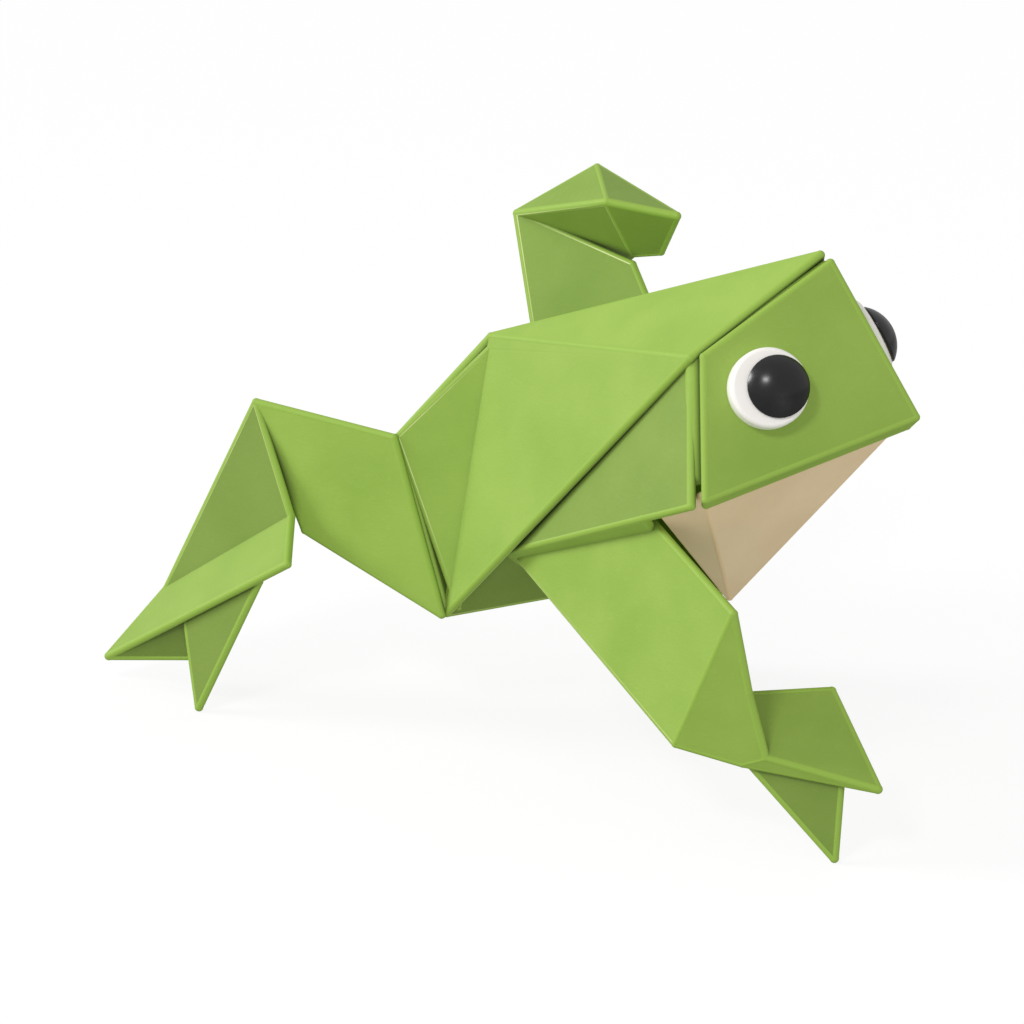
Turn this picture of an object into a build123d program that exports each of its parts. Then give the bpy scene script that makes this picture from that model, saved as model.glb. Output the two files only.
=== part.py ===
"""A frog folded from one sheet of green paper, caught in mid leap.

The sheet is one solid: thin flat panels that meet at rounded folds.
A tan paper lining closes the throat, and two paper discs with
half-bead pupils are glued to the head. The frog faces +X and
stands on one front toe, one hind toe and the other hind foot's sole.
"""
from build123d import *
import os

# overall sizes, toe to toe and toe to raised hand
length = 129.1
width = 58.8
height = 79.7

# paper
sheet = 1.2            # folded layers pressed flat
fold_excess = 0.03     # a fold is this much fuller than the flat sheet
lining = 1.0           # tan paper
lining_gap = 0.15      # between the lining and the paper it is tucked behind
neck_clearance = 0.3  # extra room for the lining beside the neck
arm_margin = 0.9       # chest paper left in front of the arm, before the lining begins
lining_inset = 0.15    # share of the jaw's length by which the lining starts in front of that line
hem = 1.5              # turned-in strip along the jaw
overlap = 0.9          # how far the hip lies under the flank's edge
pleat_radius = 1.35    # roll of paper under the neck groove
pleat_depth = 1.65     # how far that roll lies under the surface

# eyes
eye_diameter = 11.0
eye_thickness = 2.6
eye_rim = 0.7          # rounding of the disc's front edge
pupil_diameter = 8.6
pupil_height = 2.4
pupil_edge = 0.35      # straight side under the dome
pupil_offset = 1.1     # towards the snout

# height of a point whose rounded corner touches the ground
ground = sheet / 2 + 2 * fold_excess

# the folding pattern below is drawn at this size and stretched to the sizes above
drawn_length = 129.1
drawn_width = 58.8
drawn_height = 79.7


def at(x, y, z):
    """A point of the pattern: x forward, y to the frog's left, z up."""
    return Vector(x * length / drawn_length, y * width / drawn_width, z * height / drawn_height)


def flip(point):
    return Vector(point.X, -point.Y, point.Z)


def between(start, end, share):
    return start + (end - start) * share


def unit_normal(a, b, c):
    return (b - a).cross(c - a).normalized()


def flatten(point, a, b, c):
    """Move a point sideways, along Y, into the plane of three others."""
    normal = unit_normal(a, b, c)
    shift = (a - point).dot(normal) / normal.Y
    return Vector(point.X, point.Y + shift, point.Z)


def plate(corners, thickness):
    outline = Polyline(*corners, close=True)
    return extrude(make_face(outline), amount=thickness / 2, both=True)


def bead(start, end, radius):
    axis = end - start
    return Plane(start, z_dir=axis) * Cylinder(radius, axis.length, align=(Align.CENTER, Align.CENTER, Align.MIN))


def ball(centre, radius):
    return Pos(centre.X, centre.Y, centre.Z) * Sphere(radius)


def key(point):
    return (round(point.X, 3), round(point.Y, 3), round(point.Z, 3))


def folded(panels, thickness, extras):
    """Fuse flat panels to one sheet, with every edge rounded and shared edges made once."""
    edge_radius = thickness / 2 + fold_excess
    tip_radius = edge_radius + fold_excess
    edges = {}
    corners = {}
    pieces = list(extras)
    for panel in panels:
        pieces.append(plate(panel, thickness))
        for start, end in zip(panel, panel[1:] + panel[:1]):
            corners[key(start)] = start
            edges[tuple(sorted((key(start), key(end))))] = (start, end)
    pieces += [bead(start, end, edge_radius) for start, end in edges.values()]
    pieces += [ball(corner, tip_radius) for corner in corners.values()]
    return pieces[0].fuse(*pieces[1:])


# spine, snout and keel, on the middle plane
rump_top = at(-3.6, 0, 57.9)
nape = at(50.3, 0, 79.0)
brow = at(51.9, 0, 78.1)
snout = at(65.7, 0, 58.6)
keel = at(8.7, 0, 21.0)
throat = at(34.0, 0, 24.0)

# right side of the body, mirrored for the left
shoulder_top = at(40.1, -16.9, 67.0)
shoulder_peak = at(39.8, -16.2, 65.6)
shoulder_front = at(44.9, -24.1, 48.9)
shoulder_rear = at(5.9, -10.4, 30.0)
flank_foot = at(-4.1, -11.0, 18.6)
hip_top = at(-13.7, -9.0, 43.3)
cheek_top = at(41.9, -16.3, 67.3)
cheek_low = flatten(at(46.7, -23.8, 49.9), brow, snout, cheek_top)

# the right arm's root is tucked in behind the shoulder
arm_rear = at(4.1, -8.0, 30.7)
elbow_top = at(52.9, -26.0, 35.6)
elbow_low = at(44.2, -26.0, 14.7)
arm_front = flatten(at(32.3, -17.0, 43.8), arm_rear, elbow_low, elbow_top)

# the chest paper ends a little in front of where the arm comes through it
chest_normal = unit_normal(shoulder_rear, throat, shoulder_front)
root_depth = (arm_front - throat).dot(chest_normal)
elbow_depth = (elbow_top - throat).dot(chest_normal)
arm_gate = between(arm_front, elbow_top, root_depth / (root_depth - elbow_depth))
chest_line = arm_gate + chest_normal.cross(arm_gate - throat).normalized() * arm_margin - throat
line_side = chest_line.cross(chest_normal)
chest_share = (throat - shoulder_rear).dot(line_side) / (shoulder_front - shoulder_rear).dot(line_side)
collar = between(shoulder_rear, shoulder_front, chest_share)

# outward normals of the two facets that the throat lining fills
jaw_normal = unit_normal(cheek_low, throat, snout)
collar_normal = unit_normal(cheek_low, collar, throat)
cheek_normal = unit_normal(brow, cheek_top, snout)
shoulder_normal = unit_normal(shoulder_peak, shoulder_rear, shoulder_front)
flank_normal = unit_normal(rump_top, flank_foot, shoulder_top)


def both_sides(panels):
    return panels + [[flip(point) for point in panel] for panel in panels]


def body_panels():
    hip_upper = between(rump_top, shoulder_top, 0.03) - flank_normal * overlap
    hip_lower = between(flank_foot, shoulder_top, 0.03) - flank_normal * overlap
    paired = [
        [rump_top, shoulder_top, nape],
        [rump_top, flank_foot, shoulder_top],
        [hip_upper, hip_top, hip_lower],
        [shoulder_peak, shoulder_rear, shoulder_front],
        [flank_foot, keel, shoulder_rear],
        [shoulder_rear, keel, throat],
        [shoulder_rear, throat, collar],
    ]
    across = [
        [rump_top, hip_top, flip(hip_top)],
        [hip_top, flank_foot, flip(flank_foot), flip(hip_top)],
        [flank_foot, keel, flip(flank_foot)],
    ]
    return both_sides(paired) + across


def head_panels():
    """Two cheeks that meet at the ridge from brow to snout, each with a hem along the jaw."""
    depth = (throat - cheek_low).cross(snout - cheek_low).length / (snout - cheek_low).length
    share = hem / depth
    hem_back = between(cheek_low, throat, share)
    hem_front = between(snout, throat, share)
    return both_sides([
        [brow, cheek_top, cheek_low, snout],
        [cheek_low, snout, hem_front, hem_back],
    ])


def neck_pleat():
    """The roll of paper under the groove that parts the head from the shoulders."""
    inward = -cheek_normal * pleat_depth
    top = between(shoulder_top, cheek_top, 0.5) + inward
    low = between(shoulder_front, cheek_low, 0.5) + inward
    low = between(low, top, 0.2)
    middle = between(nape, brow, 0.5) - Vector(0, 0, pleat_depth)
    rolls = []
    for side_top, side_low in ((top, low), (flip(top), flip(low))):
        rolls += [bead(side_low, side_top, pleat_radius), bead(side_top, middle, pleat_radius)]
        rolls += [ball(side_low, pleat_radius + fold_excess), ball(side_top, pleat_radius + fold_excess)]
    return rolls + [ball(middle, pleat_radius + fold_excess)]


def right_hind_leg():
    """Stretched out behind: thigh, shin, the long band of the foot, its under layer and a second toe."""
    lift = Vector(-0.3, -0.9, 0)
    seam_top = hip_top + lift
    seam_low = flank_foot + lift
    knee_low = at(-28.3, -12.5, 27.0)
    knee_top = flatten(at(-37.8, -10.0, 44.7), seam_top, seam_low, knee_low)
    ankle = at(-51.0, -17.0, 14.3)
    instep = at(-29.0, -15.0, 29.6)
    heel = at(-23.9, -23.0, 25.8)
    foot_tip = flatten(at(-56.9, -24.1, 4.5), ankle, instep, heel)
    under = Vector(0.2, 0.9, -0.3)
    behind = Vector(-1.3, 2.0, -0.9)
    toe_rear = between(heel, foot_tip, 0.58) + under
    toe_front = between(heel, foot_tip, 0.18) + under
    toe_tip = at(-39.1, -25.2, 0)
    toe_tip.Z = ground
    layer_top = between(heel, foot_tip, 0.3) + behind
    layer_tip = at(-41.4, -22.6, 7.4) + behind * 0.4
    return [
        [seam_top, seam_low, knee_low, knee_top],
        [knee_top, ankle, instep],
        [ankle, instep, heel, foot_tip],
        [foot_tip, layer_top, layer_tip],
        [toe_rear, toe_front, toe_tip],
    ]


def right_front_leg():
    """Reaching forward and down: upper arm, forearm, foot and its trailing toe."""
    wrist_low = at(53.7, -24.0, 13.3)
    wrist = flatten(at(56.9, -23.3, 14.7), elbow_top, elbow_low, wrist_low)
    wrist_top = flatten(at(54.7, -23.9, 24.2), elbow_top, elbow_low, wrist_low)
    foot_back = at(50.6, -18.6, 20.6)
    foot_tip = at(70.9, -17.0, 11.0)
    foot_front = flatten(at(59.6, -9.6, 20.5), foot_back, foot_tip, wrist)
    under = Vector(0, 0.9, -0.3)
    toe_rear = between(wrist_low, foot_tip, 0.03) + under
    toe_front = between(wrist_low, foot_tip, 0.70) + under
    toe_tip = at(66.1, -20.0, 0)
    toe_tip.Z = ground
    return [
        [arm_rear, arm_front, elbow_top, elbow_low],
        [elbow_top, elbow_low, wrist_low, wrist, wrist_top],
        [foot_back, foot_front, foot_tip, wrist],
        [wrist_low, wrist, foot_tip],
        [toe_rear, toe_front, toe_tip],
    ]


def left_front_leg():
    """Thrown up and back: a broad arm, and a folded hand seen from its end."""
    root_rear = at(2.3, 7.4, 40.9)
    root_front = at(20.0, 15.0, 49.0)
    arm_top = at(-13.3, 21.5, 69.7)
    wrist_back = flatten(at(6.6, 22.0, 64.9), root_rear, root_front, arm_top)
    wrist_low = flatten(at(10.0, 21.0, 61.0), root_rear, root_front, arm_top)
    hand_peak = at(-5.0, 30.5, 75.9)
    hand_ridge = at(5.1, 17.3, 75.3)
    hand_tip = at(15.0, 20.5, 74.0)
    palm_back = at(5.8, 23.4, 66.2)
    palm_root = flatten(at(1.3, 26.0, 62.5), arm_top, hand_ridge, palm_back)
    palm_front = flatten(at(10.3, 24.4, 67.1), hand_ridge, hand_tip, palm_back)
    return [
        [root_rear, root_front, wrist_low, wrist_back, arm_top],
        [arm_top, hand_peak, hand_ridge],
        [hand_peak, hand_tip, hand_ridge],
        [arm_top, hand_ridge, palm_back, palm_root],
        [hand_ridge, hand_tip, palm_front, palm_back],
    ]


def left_hind_leg():
    """Drawn up under the body: thigh, shin, and a foot whose sole lies flat on the ground."""
    lift = Vector(-0.3, 0.9, 0)
    seam_top = flip(hip_top) + lift
    seam_low = flip(flank_foot) + lift
    knee_low = at(15.0, 25.0, 23.5)
    knee_top = flatten(at(19.0, 24.0, 36.0), seam_top, seam_low, knee_low)
    heel = at(2.5, 27.5, 0)
    toe_out = at(20.0, 31.5, 0)
    toe_in = at(23.5, 24.5, 0)
    for point in (heel, toe_out, toe_in):
        point.Z = ground
    instep = at(15.5, 26.0, 13.0)
    return [
        [seam_top, seam_low, knee_low, knee_top],
        [knee_top, heel, instep],
        [heel, instep, toe_in],
        [heel, toe_out, toe_in],
    ]


def folded_sheet():
    """The body, the head and each leg are folded on their own, then joined one by one."""
    legs = [right_hind_leg(), right_front_leg(), left_front_leg(), left_hind_leg()]
    whole = folded(body_panels(), sheet, [])
    whole = whole.fuse(folded(head_panels(), sheet, []))
    for part in neck_pleat():
        whole = whole.fuse(part)
    for leg in legs:
        whole = whole.fuse(folded(leg, sheet, []))
    return whole


def tucked(point, normal, other_normal, depth):
    """The point that lies this deep under both of the faces that meet at an edge."""
    return point - (normal + other_normal) * depth / (1 + normal.dot(other_normal))


def throat_lining():
    """A tan sheet folded along the keel, tucked behind the hems of the jaw and the chest."""
    depth = sheet / 2 + lining / 2 + lining_gap
    keel_shift = Vector(-jaw_normal.X, 0, -jaw_normal.Z) * depth / (jaw_normal.X ** 2 + jaw_normal.Z ** 2)
    front = between(snout, throat, 0.03) + keel_shift
    back = between(throat, snout, 0.08) - keel_shift / 2
    cheek = tucked(cheek_low, cheek_normal, jaw_normal, depth) - shoulder_normal * neck_clearance
    side = between(tucked(collar, shoulder_normal, collar_normal, depth), cheek, lining_inset)
    half = [[cheek, front, back], [cheek, back, side]]
    return folded(both_sides(half), lining, [])


def eye_seat():
    """Where the right eye is glued: on the cheek's outer face, its Z axis pointing outward."""
    centre = flatten(at(49.3, -12.6, 62.9), brow, snout, cheek_top)
    level = Vector(0, 0, 1).cross(cheek_normal)
    return Plane(centre + cheek_normal * sheet / 2, x_dir=level, z_dir=cheek_normal)


def eye_white():
    standing = (Align.CENTER, Align.CENTER, Align.MIN)
    disc = Cylinder(eye_diameter / 2, eye_thickness, align=standing)
    return eye_seat() * fillet(disc.edges().group_by(Axis.Z)[-1], eye_rim)


def pupil():
    """A half bead: a short straight side under a dome that is part of a sphere."""
    standing = (Align.CENTER, Align.CENTER, Align.MIN)
    radius = pupil_diameter / 2
    rise = pupil_height - pupil_edge
    dome_radius = (radius ** 2 + rise ** 2) / (2 * rise)
    dome = Pos(0, 0, pupil_height - dome_radius) * Sphere(dome_radius)
    bead_half = Cylinder(radius, pupil_height, align=standing) & dome
    return eye_seat() * Pos(pupil_offset, 0, eye_thickness) * bead_half


right_white = eye_white()
right_pupil = pupil()
nodes = {
    "folded_sheet": folded_sheet(),
    "throat": throat_lining(),
    "eye_white_right": right_white,
    "eye_white_left": mirror(right_white, about=Plane.XZ),
    "pupil_right": right_pupil,
    "pupil_left": mirror(right_pupil, about=Plane.XZ),
}

# the origin is on the ground, under the middle of the whole frog
extent = Compound(children=[Part(shape.wrapped) for shape in nodes.values()]).bounding_box()
to_origin = Pos(-extent.center().X, -extent.center().Y, -extent.min.Z)

os.makedirs("parts", exist_ok=True)
for name, shape in nodes.items():
    export_step(to_origin * shape, f"parts/{name}.step")
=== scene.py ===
import bpy
import bmesh
from math import cos, pi, sin, radians
from mathutils import Matrix, Vector


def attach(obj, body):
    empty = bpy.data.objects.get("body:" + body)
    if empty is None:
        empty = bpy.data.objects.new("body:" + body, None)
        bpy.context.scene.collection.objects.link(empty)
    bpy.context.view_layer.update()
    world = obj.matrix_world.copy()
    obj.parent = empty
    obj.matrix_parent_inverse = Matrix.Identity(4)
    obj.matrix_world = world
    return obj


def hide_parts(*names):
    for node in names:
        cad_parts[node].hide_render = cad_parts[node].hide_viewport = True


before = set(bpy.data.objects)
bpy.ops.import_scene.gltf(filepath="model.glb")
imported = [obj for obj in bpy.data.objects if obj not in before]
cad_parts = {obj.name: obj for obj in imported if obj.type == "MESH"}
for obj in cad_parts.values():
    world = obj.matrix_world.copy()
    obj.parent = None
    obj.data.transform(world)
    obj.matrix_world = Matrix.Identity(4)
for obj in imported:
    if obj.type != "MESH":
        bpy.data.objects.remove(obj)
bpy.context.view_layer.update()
mm = 0.001
print("frame loaded")


def newMaterial(name):
    material = bpy.data.materials.new(name)
    material.use_nodes = True
    tree = material.node_tree
    shader = next(n for n in tree.nodes if n.type == "BSDF_PRINCIPLED")
    return material, tree, shader


def addNode(tree, kind, **settings):
    node = tree.nodes.new(kind)
    for key, value in settings.items():
        setattr(node, key, value)
    return node


def noise(tree, coords, scale, detail=3.0, roughness=0.5, stretch=(1, 1, 1)):
    mapping = addNode(tree, "ShaderNodeMapping")
    mapping.inputs["Scale"].default_value = stretch
    tree.links.new(coords, mapping.inputs["Vector"])
    node = addNode(tree, "ShaderNodeTexNoise")
    node.inputs["Scale"].default_value = scale
    node.inputs["Detail"].default_value = detail
    node.inputs["Roughness"].default_value = roughness
    tree.links.new(mapping.outputs["Vector"], node.inputs["Vector"])
    return node.outputs["Fac"]


def remap(tree, value, low, high, toLow=0.0, toHigh=1.0):
    node = addNode(tree, "ShaderNodeMapRange", clamp=True)
    node.inputs["From Min"].default_value = low
    node.inputs["From Max"].default_value = high
    node.inputs["To Min"].default_value = toLow
    node.inputs["To Max"].default_value = toHigh
    tree.links.new(value, node.inputs["Value"])
    return node.outputs["Result"]


def multiply(tree, first, second):
    node = addNode(tree, "ShaderNodeMath", operation="MULTIPLY")
    for socket, value in zip(node.inputs, (first, second)):
        if isinstance(value, (int, float)):
            socket.default_value = value
        else:
            tree.links.new(value, socket)
    return node.outputs["Value"]


def readAttribute(tree, name):
    return addNode(tree, "ShaderNodeAttribute", attribute_name=name).outputs["Fac"]


def mixColour(tree, factor, first, second):
    node = addNode(tree, "ShaderNodeMix", data_type="RGBA")
    tree.links.new(factor, node.inputs["Factor"])
    for socket, value in ((node.inputs[6], first), (node.inputs[7], second)):    # colours A and B
        if isinstance(value, tuple):
            socket.default_value = (*value, 1)
        else:
            tree.links.new(value, socket)
    return node.outputs[2]    # the mixed colour


def bump(tree, height, distance, strength, below=None):
    node = addNode(tree, "ShaderNodeBump")
    node.inputs["Distance"].default_value = distance
    node.inputs["Strength"].default_value = strength
    tree.links.new(height, node.inputs["Height"])
    if below is not None:
        tree.links.new(below, node.inputs["Normal"])
    return node.outputs["Normal"]


greenPaper = {
    "sheetColour": (0.310, 0.475, 0.074),
    "shadeColour": (0.262, 0.425, 0.056),   # slow clouds in the dye
    "foldHighlightColour": (0.860, 0.900, 0.470),    # painted highlight along the crests of folds
    "edgeColour": (0.290, 0.460, 0.062),    # cut edges and the sides of folds
    "creaseShadeColour": (0.055, 0.085, 0.016),  # painted shade deep in the creases
    "fibreColour": (0.400, 0.560, 0.140),
    "roughness": (0.52, 0.68),
    # a point on a panel in mm, and its painted shade: below 1 paints that panel darker, as if in
    # shade
    "paintedShades": (
        ((22.9, -20.2, 48.3), 0.74),    # right shoulder
        ((-13.6, -9.4, 39.9), 0.94),    # right hip
        ((-3.1, -10.2, 22.9), 0.60),    # belly
        ((18.2, -13.5, 32.3), 0.62),    # chest
        ((-28.1, -14.7, 33.5), 0.93),   # right thigh
        ((-46.3, -17.7, 29.7), 0.68),   # right shin
        ((-47.5, -22.9, 19.0), 0.92),   # band of the hind foot
        ((-51.5, -25.8, 10.0), 0.52),   # under layer of the hind foot
        ((-44.2, -26.8, 11.9), 0.68),   # right hind toe
        ((25.4, -21.4, 30.8), 0.78),    # right upper arm
        ((45.4, -27.7, 20.4), 0.95),    # right forearm
        ((52.7, -20.4, 17.2), 0.84),    # front foot
        ((55.3, -23.7, 8.4), 0.66),     # front toe
        ((44.9, -13.0, 63.7), 0.90),    # right cheek
        ((-1.8, 14.0, 57.4), 0.80),     # raised arm
        ((-11.6, 20.2, 74.2), 0.85),    # hand, rear half
        ((-1.9, 20.0, 75.7), 0.76),     # hand, front half
        ((-7.3, 18.8, 68.1), 0.80),     # palm, rear half
        ((2.2, 18.0, 70.3), 0.80),      # palm, front half
    ),
}
tanPaper = {
    "sheetColour": (0.930, 0.740, 0.475),
    "shadeColour": (0.860, 0.660, 0.410),
    # painted highlight along the crests of folds
    "foldHighlightColour": (0.950, 0.780, 0.520),
    "edgeColour": (0.900, 0.680, 0.400),
    # painted shade deep in the creases
    "creaseShadeColour": (0.300, 0.200, 0.110),
    "fibreColour": (0.950, 0.820, 0.600),
    "roughness": (0.58, 0.74),
    # the tan paper gets no painted panel shade
    "paintedShades": (),
}
# what both papers share: scales are per metre, so 70 gives patches of about 14 mm
paperStock = {
    "cloudScale": 70,
    "fibreScale": 900,
    "fibreStretch": (1, 0.35, 1.6),
    "fibreShow": 0.25,              # how far the palest fibres stand out
    "grainScale": 3200,
    "highlightBreakScale": 160,               # breaks in the painted highlight on the fold crests
    # the weakest the painted fold highlight gets between its breaks
    "weakestHighlight": 0.55,
    "waveScale": 38,
    "creaseShadeReach": 1.6 * mm,        # how far from a corner the painted shade of a crease starts
    # how strongly the painted crease shade covers the colour at most
    "creaseShadeStrength": 0.85,
    "gloss": 0.38,
    "waveHeight": 0.9 * mm,
    "fibreHeight": 0.10 * mm,
    "grainHeight": 0.05 * mm,
}


def paperColour(tree, coords, fibres, paper):
    stock = paperStock
    clouds = noise(tree, coords, stock["cloudScale"], detail=4)
    patches = remap(tree, clouds, 0.35, 0.68)
    colour = mixColour(tree, patches, paper["sheetColour"], paper["shadeColour"])
    pale = remap(tree, fibres, 0.56, 0.78, 0.0, stock["fibreShow"])
    colour = mixColour(tree, pale, colour, paper["fibreColour"])
    colour = mixColour(tree, readAttribute(tree, "roundedEdge"), colour, paper["edgeColour"])
    # painted highlight along the fold crests, broken into patches by noise
    highlightBreaks = noise(tree, coords, stock["highlightBreakScale"], detail=3)
    highlightLevel = remap(tree, highlightBreaks, 0.30, 0.62, stock["weakestHighlight"], 1.0)
    crest = multiply(tree, readAttribute(tree, "foldCrestHighlight"), highlightLevel)
    colour = mixColour(tree, crest, colour, paper["foldHighlightColour"])
    # painted shade in creases and gaps between layers, from ambient occlusion
    creaseOcclusion = addNode(tree, "ShaderNodeAmbientOcclusion", samples=8, only_local=True)
    creaseOcclusion.inputs["Distance"].default_value = stock["creaseShadeReach"]
    depth = remap(tree, creaseOcclusion.outputs["AO"], 0.30, 0.92, stock["creaseShadeStrength"], 0.0)
    return mixColour(tree, depth, colour, paper["creaseShadeColour"])


def paperMaterial(name, paper):
    material, tree, shader = newMaterial(name)
    stock = paperStock
    coords = addNode(tree, "ShaderNodeTexCoord").outputs["Object"]
    fibres = noise(tree, coords, stock["fibreScale"], 5, 0.65, stock["fibreStretch"])
    grain = noise(tree, coords, stock["grainScale"], detail=2)
    # painted shade per panel: the colour is scaled down where a panel is to look shaded
    tone = addNode(tree, "ShaderNodeVectorMath", operation="SCALE")
    tree.links.new(paperColour(tree, coords, fibres, paper), tone.inputs[0])
    tree.links.new(readAttribute(tree, "paintedPanelShade"), tone.inputs["Scale"])
    tree.links.new(tone.outputs["Vector"], shader.inputs["Base Color"])
    low, high = paper["roughness"]
    tree.links.new(remap(tree, fibres, 0.3, 0.7, low, high), shader.inputs["Roughness"])
    shader.inputs["Specular IOR Level"].default_value = stock["gloss"]
    swell = noise(tree, coords, stock["waveScale"], detail=1)
    waves = bump(tree, swell, stock["waveHeight"], 0.10)
    felt = bump(tree, fibres, stock["fibreHeight"], 0.35, waves)
    tree.links.new(bump(tree, grain, stock["grainHeight"], 0.30, felt), shader.inputs["Normal"])
    return material


whiteCard = {
    "colours": ((0.96, 0.93, 0.89), (0.94, 0.90, 0.85)),
    "fibreColour": (0.98, 0.97, 0.95),
    "fibreScale": 1100,
    "cloudScale": 120,
    "roughness": (0.38, 0.5),
    "fibreHeight": 0.05 * mm,
}
blackBead = {
    "colours": ((0.005, 0.005, 0.006), (0.008, 0.008, 0.009)),
    "scuffScale": 420,
    "toneScale": 180,
    "roughness": (0.20, 0.34),
    "gloss": 0.5,
    "scuffDepth": 0.02 * mm,
}


def cardMaterial():
    material, tree, shader = newMaterial("whiteCard")
    coords = addNode(tree, "ShaderNodeTexCoord").outputs["Object"]
    fibres = noise(tree, coords, whiteCard["fibreScale"], detail=4, roughness=0.6)
    clouds = noise(tree, coords, whiteCard["cloudScale"], detail=2)
    colour = mixColour(tree, remap(tree, clouds, 0.3, 0.7), *whiteCard["colours"])
    pale = remap(tree, fibres, 0.58, 0.75, 0.0, 0.35)
    colour = mixColour(tree, pale, colour, whiteCard["fibreColour"])
    tree.links.new(colour, shader.inputs["Base Color"])
    low, high = whiteCard["roughness"]
    tree.links.new(remap(tree, fibres, 0.3, 0.7, low, high), shader.inputs["Roughness"])
    felt = bump(tree, fibres, whiteCard["fibreHeight"], 0.25)
    tree.links.new(felt, shader.inputs["Normal"])
    return material


def beadMaterial():
    material, tree, shader = newMaterial("blackBead")
    coords = addNode(tree, "ShaderNodeTexCoord").outputs["Object"]
    scuffs = noise(tree, coords, blackBead["scuffScale"], 3, 0.55, (1, 2, 1))
    tone = noise(tree, coords, blackBead["toneScale"], detail=2)
    colour = mixColour(tree, remap(tree, tone, 0.3, 0.7), *blackBead["colours"])
    tree.links.new(colour, shader.inputs["Base Color"])
    low, high = blackBead["roughness"]
    tree.links.new(remap(tree, scuffs, 0.35, 0.75, low, high), shader.inputs["Roughness"])
    shader.inputs["Specular IOR Level"].default_value = blackBead["gloss"]
    marks = bump(tree, scuffs, blackBead["scuffDepth"], 0.06)
    tree.links.new(marks, shader.inputs["Normal"])
    return material


def addPiece(name, mesh, node, material):
    mesh.materials.clear()
    mesh.materials.append(material)
    piece = bpy.data.objects.new(name, mesh)
    bpy.context.scene.collection.objects.link(piece)
    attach(piece, "root")
    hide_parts(node)
    print("made", name, len(mesh.polygons), "faces")
    return piece


foldedPanels = {
    "weld": 0.002 * mm,         # points nearer than this become one
    "flatAngle": 0.8,           # degrees: triangles that meet flatter than this join
    "narrowest": 0.17 * mm,     # area over outline: below it a face is a rounded edge
    "edgeRise": 0.07 * mm,      # how far the rounded edges may stand above a panel
    "samePlane": 0.999,         # cosine between faces of one panel
    "offPlane": 3,              # how much height off a panel counts against nearness
    "doubledBack": -0.9,        # cosine below which a fold is pressed flat on itself
    # a fold pressed flat on itself gets a weaker painted highlight
    "flatFoldHighlight": 0.40,
    "sharpAngle": 38,
    "panelWeight": 90,          # pull of the large faces on the shading
}


def wideFaces(work, narrowest):
    return {f for f in work.faces if f.calc_area() / f.calc_perimeter() > narrowest}


def flushEdges(work, wide, depth):
    # the rounded edges stand a hair above the panels: press them down until they are flush
    for face in work.faces:    # in mesh order, so each run presses them alike
        if face not in wide:
            continue
        normal, level = face.normal.copy(), face.normal.dot(face.verts[0].co)
        near = {v for corner in face.verts for f in corner.link_faces for v in f.verts}
        for vert in near:
            above = normal.dot(vert.co) - level
            if 0 < above < depth:
                vert.co -= normal * above


def distanceTo(face, point):
    level = abs(face.normal.dot(point - face.verts[0].co))
    return level * foldedPanels["offPlane"] + (face.calc_center_median() - point).length


def paintedPanelShade(work, wide, paintedShades):
    # each painted shade spreads from the panel nearest its point over the faces in the same plane
    paintedShadeOf = {}
    for spot, tone in paintedShades:
        spot = Vector(spot) * mm
        start = min((f for f in work.faces if f in wide), key=lambda f: distanceTo(f, spot))
        queue = [start]
        while queue:
            face = queue.pop()
            if face in paintedShadeOf or face not in wide:
                continue
            if face.normal.dot(start.normal) < foldedPanels["samePlane"]:
                continue
            paintedShadeOf[face] = tone
            queue += [f for e in face.edges for f in e.link_faces]
    return paintedShadeOf


def markCrests(work, wide, layer):
    # a crest runs along the middle of a fold between two panels, not along a cut edge, and gets
    # the painted highlight
    for vert in work.verts:
        if any(f in wide for f in vert.link_faces):
            continue
        around = {f for e in vert.link_edges for v in e.verts for f in v.link_faces if f in wide}
        normals = [f.normal for f in around]
        if len(normals) < 2:
            continue
        spread = min(a.dot(b) for a in normals for b in normals)
        flat = spread < foldedPanels["doubledBack"]
        vert[layer] = foldedPanels["flatFoldHighlight"] if flat else 1.0


def paperPiece(name, node, material, paintedShades):
    # the sheet as it is folded, with its narrow rounded faces marked as edges
    panels = foldedPanels
    work = bmesh.new()
    work.from_mesh(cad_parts[node].data)
    bmesh.ops.remove_doubles(work, verts=work.verts, dist=panels["weld"])
    flat = radians(panels["flatAngle"])
    bmesh.ops.dissolve_limit(work, angle_limit=flat, verts=work.verts, edges=work.edges)
    wide = wideFaces(work, panels["narrowest"])
    flushEdges(work, wide, panels["edgeRise"])
    # painted shade per panel, spread over each listed panel
    paintedShadeOf = paintedPanelShade(work, wide, paintedShades)
    edgeLayer = work.verts.layers.float.new("roundedEdge")
    # marks where the painted fold highlight goes
    crestHighlightLayer = work.verts.layers.float.new("foldCrestHighlight")
    paintedShadeLayer = work.loops.layers.float.new("paintedPanelShade")
    for vert in work.verts:
        beside = any(f in wide for f in vert.link_faces)
        vert[edgeLayer] = 0.0 if beside else 1.0
    for face in work.faces:
        face.smooth = True
        for loop in face.loops:
            loop[paintedShadeLayer] = paintedShadeOf.get(face, 1.0)
    markCrests(work, wide, crestHighlightLayer)
    for edge in work.edges:
        if edge.is_manifold and edge.calc_face_angle() > radians(panels["sharpAngle"]):
            edge.smooth = False
    bmesh.ops.triangulate(work, faces=work.faces)
    mesh = bpy.data.meshes.new(name)
    work.to_mesh(mesh)
    work.free()
    piece = addPiece(name, mesh, node, material)
    weighted = piece.modifiers.new("flatPanels", "WEIGHTED_NORMAL")
    weighted.keep_sharp = True
    weighted.weight = panels["panelWeight"]


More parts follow.
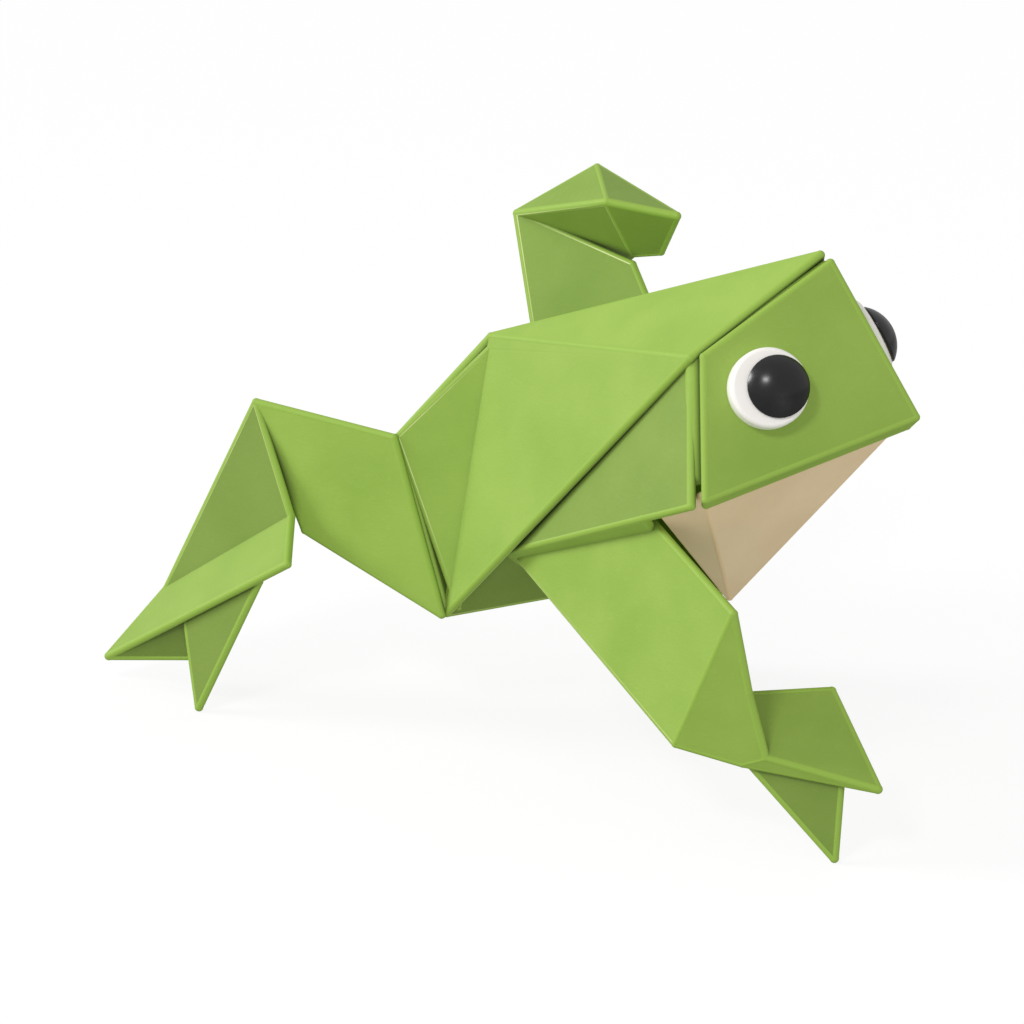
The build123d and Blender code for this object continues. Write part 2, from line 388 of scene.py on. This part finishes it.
eyes = {
    "cheekNormal": Vector((0.6163, -0.6557, 0.4361)),   # the right cheek's outward direction
    "segments": 128,
    "arcSteps": 14,
    "edgeWeight": 60,
}
eyeDisc = {
    "radius": 5.5 * mm,
    "thickness": 2.6 * mm,
    "rim": 0.7 * mm,
    # the pressed back edge, as inset and height
    "backEdge": ((0.3 * mm, 0), (0.08 * mm, 0.04 * mm), (0, 0.15 * mm)),
}
pupilBead = {
    "radius": 4.3 * mm,
    "height": 2.4 * mm,
    "side": 0.35 * mm,
    "backInset": 0.15 * mm,
    "backRise": 0.1 * mm,
}


def placeOn(node, axis):
    # the point where a round node's axis meets its lowest face along that axis
    across = axis.orthogonal().normalized()
    third = axis.cross(across)
    points = [v.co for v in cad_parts[node].data.vertices]

    def middle(direction):
        spans = [p.dot(direction) for p in points]
        return (min(spans) + max(spans)) / 2

    seat = min(p.dot(axis) for p in points)
    origin = across * middle(across) + third * middle(third) + axis * seat
    turn = Matrix((across, third, axis)).transposed().to_4x4()
    return Matrix.Translation(origin) @ turn


def lathe(name, profile, segments):
    # profile runs from the axis below to the axis above, as (radius, height)
    work = bmesh.new()
    bottom = work.verts.new((0, 0, profile[0][1]))
    top = work.verts.new((0, 0, profile[-1][1]))
    rings = []
    for radius, height in profile[1:-1]:
        ring = []
        for step in range(segments):
            turn = 2 * pi * step / segments
            ring.append(work.verts.new((radius * cos(turn), radius * sin(turn), height)))
        rings.append(ring)
    for step in range(segments):
        after = (step + 1) % segments
        work.faces.new((bottom, rings[0][after], rings[0][step]))
        work.faces.new((top, rings[-1][step], rings[-1][after]))
        for low, high in zip(rings, rings[1:]):
            work.faces.new((low[step], low[after], high[after], high[step]))
    for face in work.faces:
        face.smooth = True
    mesh = bpy.data.meshes.new(name)
    work.to_mesh(mesh)
    work.free()
    return mesh


def discProfile():
    radius, top, rim = eyeDisc["radius"], eyeDisc["thickness"], eyeDisc["rim"]
    back = [(radius - inset, height) for inset, height in eyeDisc["backEdge"]]
    front = []
    for step in range(eyes["arcSteps"] + 1):
        turn = pi / 2 * step / eyes["arcSteps"]
        front.append((radius - rim + rim * cos(turn), top - rim + rim * sin(turn)))
    face = [(radius * 0.6, top), (radius * 0.2, top)]    # two rings keep the flat face even
    return [(0, 0)] + back + front + face + [(0, top)]


def domeProfile():
    radius, top, side = pupilBead["radius"], pupilBead["height"], pupilBead["side"]
    rise = top - side
    sphere = (radius ** 2 + rise ** 2) / (2 * rise)
    profile = [(0, 0), (radius - pupilBead["backInset"], 0)]
    profile += [(radius, pupilBead["backRise"]), (radius, side)]
    steps = 2 * eyes["arcSteps"]
    for step in range(1, steps):
        r = radius * cos(pi / 2 * step / steps)
        profile.append((r, top - sphere + (sphere ** 2 - r ** 2) ** 0.5))
    return profile + [(0, top)]


def roundPiece(name, node, profile, axis, material):
    mesh = lathe(name, profile, eyes["segments"])
    mesh.transform(placeOn(node, axis))
    piece = addPiece(name, mesh, node, material)
    edges = piece.modifiers.new("crispEdges", "WEIGHTED_NORMAL")
    edges.weight = eyes["edgeWeight"]


view = {
    "azimuth": 33.5,
    "elevation": 20.0,
    "lens": 150.0,
    "width": 149.5 * mm,                                # across the view at the target
    "target": Vector((-7.0, -2.75, 31.7)) * mm,
    "clipStart": 0.01,
}
floorSheet = {
    "halfWidth": 4.0,
    "colour": (0.80, 0.80, 0.79),
    "bounce": 0.50,         # how much of its light the floor gives back
    "roughness": 0.9,
    "glow": 1.06,           # only the camera sees it
    "glowShare": 0.80,
}
lamps = {
    "world": 0.60,
    "key": {"level": 1.75, "azimuth": 205.0, "elevation": 24.0, "softness": 22, "shadow": True},
    # lifts the throat from below
    "fill": {"level": 0.75, "azimuth": -35, "elevation": -20, "softness": 40, "shadow": False},
    # the small window-like highlight on the pupils, placed back, left and up from the target
    "softbox": {"watts": 2.2, "size": 0.20, "back": 0.75, "left": 0.32, "up": 0.42},
}


def viewAxes():
    a, e = radians(view["azimuth"]), radians(view["elevation"])
    back = Vector((sin(a) * cos(e), -cos(a) * cos(e), sin(e)))
    right = Vector((cos(a), sin(a), 0))
    return right, back.cross(right), back


def addCamera():
    right, up, back = viewAxes()
    data = bpy.data.cameras.new("camera")
    data.lens = view["lens"]
    camera = bpy.data.objects.new("camera", data)
    distance = view["width"] * data.lens / data.sensor_width
    turn = Matrix((right, up, back)).transposed().to_4x4()
    camera.matrix_world = Matrix.Translation(view["target"] + back * distance) @ turn
    data.clip_start = view["clipStart"]
    bpy.context.scene.collection.objects.link(camera)
    bpy.context.scene.camera = camera


def addFloor():
    mesh = bpy.data.meshes.new("floor")
    size = floorSheet["halfWidth"]
    corners = [(-size, -size, 0), (size, -size, 0), (size, size, 0), (-size, size, 0)]
    mesh.from_pydata(corners, [], [(0, 1, 2, 3)])
    material, tree, shader = newMaterial("paleFloor")
    path = addNode(tree, "ShaderNodeLightPath")
    bounce = tuple(c * floorSheet["bounce"] for c in floorSheet["colour"])
    pale = mixColour(tree, path.outputs["Is Camera Ray"], bounce, floorSheet["colour"])
    tree.links.new(pale, shader.inputs["Base Color"])
    shader.inputs["Roughness"].default_value = floorSheet["roughness"]
    glow = addNode(tree, "ShaderNodeEmission")
    glow.inputs["Strength"].default_value = floorSheet["glow"]
    seen = addNode(tree, "ShaderNodeMixShader")
    share = multiply(tree, path.outputs["Is Camera Ray"], floorSheet["glowShare"])
    tree.links.new(share, seen.inputs["Fac"])
    tree.links.new(shader.outputs["BSDF"], seen.inputs[1])
    tree.links.new(glow.outputs["Emission"], seen.inputs[2])
    output = next(n for n in tree.nodes if n.type == "OUTPUT_MATERIAL")
    tree.links.new(seen.outputs["Shader"], output.inputs["Surface"])
    mesh.materials.append(material)
    floor = bpy.data.objects.new("floor", mesh)
    bpy.context.scene.collection.objects.link(floor)


def addWorld():
    world = bpy.data.worlds.new("studio")
    bpy.context.scene.world = world
    world.use_nodes = True
    tree = world.node_tree
    background = next(n for n in tree.nodes if n.type == "BACKGROUND")
    path = addNode(tree, "ShaderNodeLightPath")
    strength = addNode(tree, "ShaderNodeMix", data_type="FLOAT")
    strength.inputs[2].default_value = lamps["world"]    # what lights the frog
    strength.inputs[3].default_value = 1.0               # what the camera sees
    tree.links.new(path.outputs["Is Camera Ray"], strength.inputs["Factor"])
    tree.links.new(strength.outputs[0], background.inputs["Strength"])
    background.inputs["Color"].default_value = (1, 1, 1, 1)


def addSun(name, lamp):
    a, e = radians(lamp["azimuth"]), radians(lamp["elevation"])
    towards = Vector((cos(a) * cos(e), sin(a) * cos(e), sin(e)))
    data = bpy.data.lights.new(name, "SUN")
    data.energy = lamp["level"]
    data.angle = radians(lamp["softness"])
    data.use_shadow = lamp["shadow"]
    sun = bpy.data.objects.new(name, data)
    sun.rotation_euler = towards.to_track_quat("Z", "Y").to_euler()
    bpy.context.scene.collection.objects.link(sun)


def addSoftbox(lamp):
    right, up, back = viewAxes()
    data = bpy.data.lights.new("softbox", "AREA")
    data.shape = "DISK"
    data.size = lamp["size"]
    data.energy = lamp["watts"]
    box = bpy.data.objects.new("softbox", data)
    place = view["target"] + (back * lamp["back"] - right * lamp["left"] + up * lamp["up"])
    aim = (place - view["target"]).to_track_quat("Z", "Y").to_matrix().to_4x4()
    box.matrix_world = Matrix.Translation(place) @ aim
    bpy.context.scene.collection.objects.link(box)


green = paperMaterial("greenPaper", greenPaper)
tan = paperMaterial("tanPaper", tanPaper)
card = cardMaterial()
bead = beadMaterial()
print("materials made")

paperPiece("foldedPaper", "folded_sheet", green, greenPaper["paintedShades"])
paperPiece("throatLining", "throat", tan, tanPaper["paintedShades"])
for side in ("right", "left"):
    axis = eyes["cheekNormal"].normalized()
    if side == "left":
        axis = Vector((axis.x, -axis.y, axis.z))
    roundPiece("eyeWhite_" + side, "eye_white_" + side, discProfile(), axis, card)
    roundPiece("pupil_" + side, "pupil_" + side, domeProfile(), axis, bead)

addCamera()
addFloor()
addWorld()
addSun("key", lamps["key"])
addSun("fill", lamps["fill"])
addSoftbox(lamps["softbox"])
bpy.context.scene.view_settings.view_transform = "Standard"
print("studio ready")
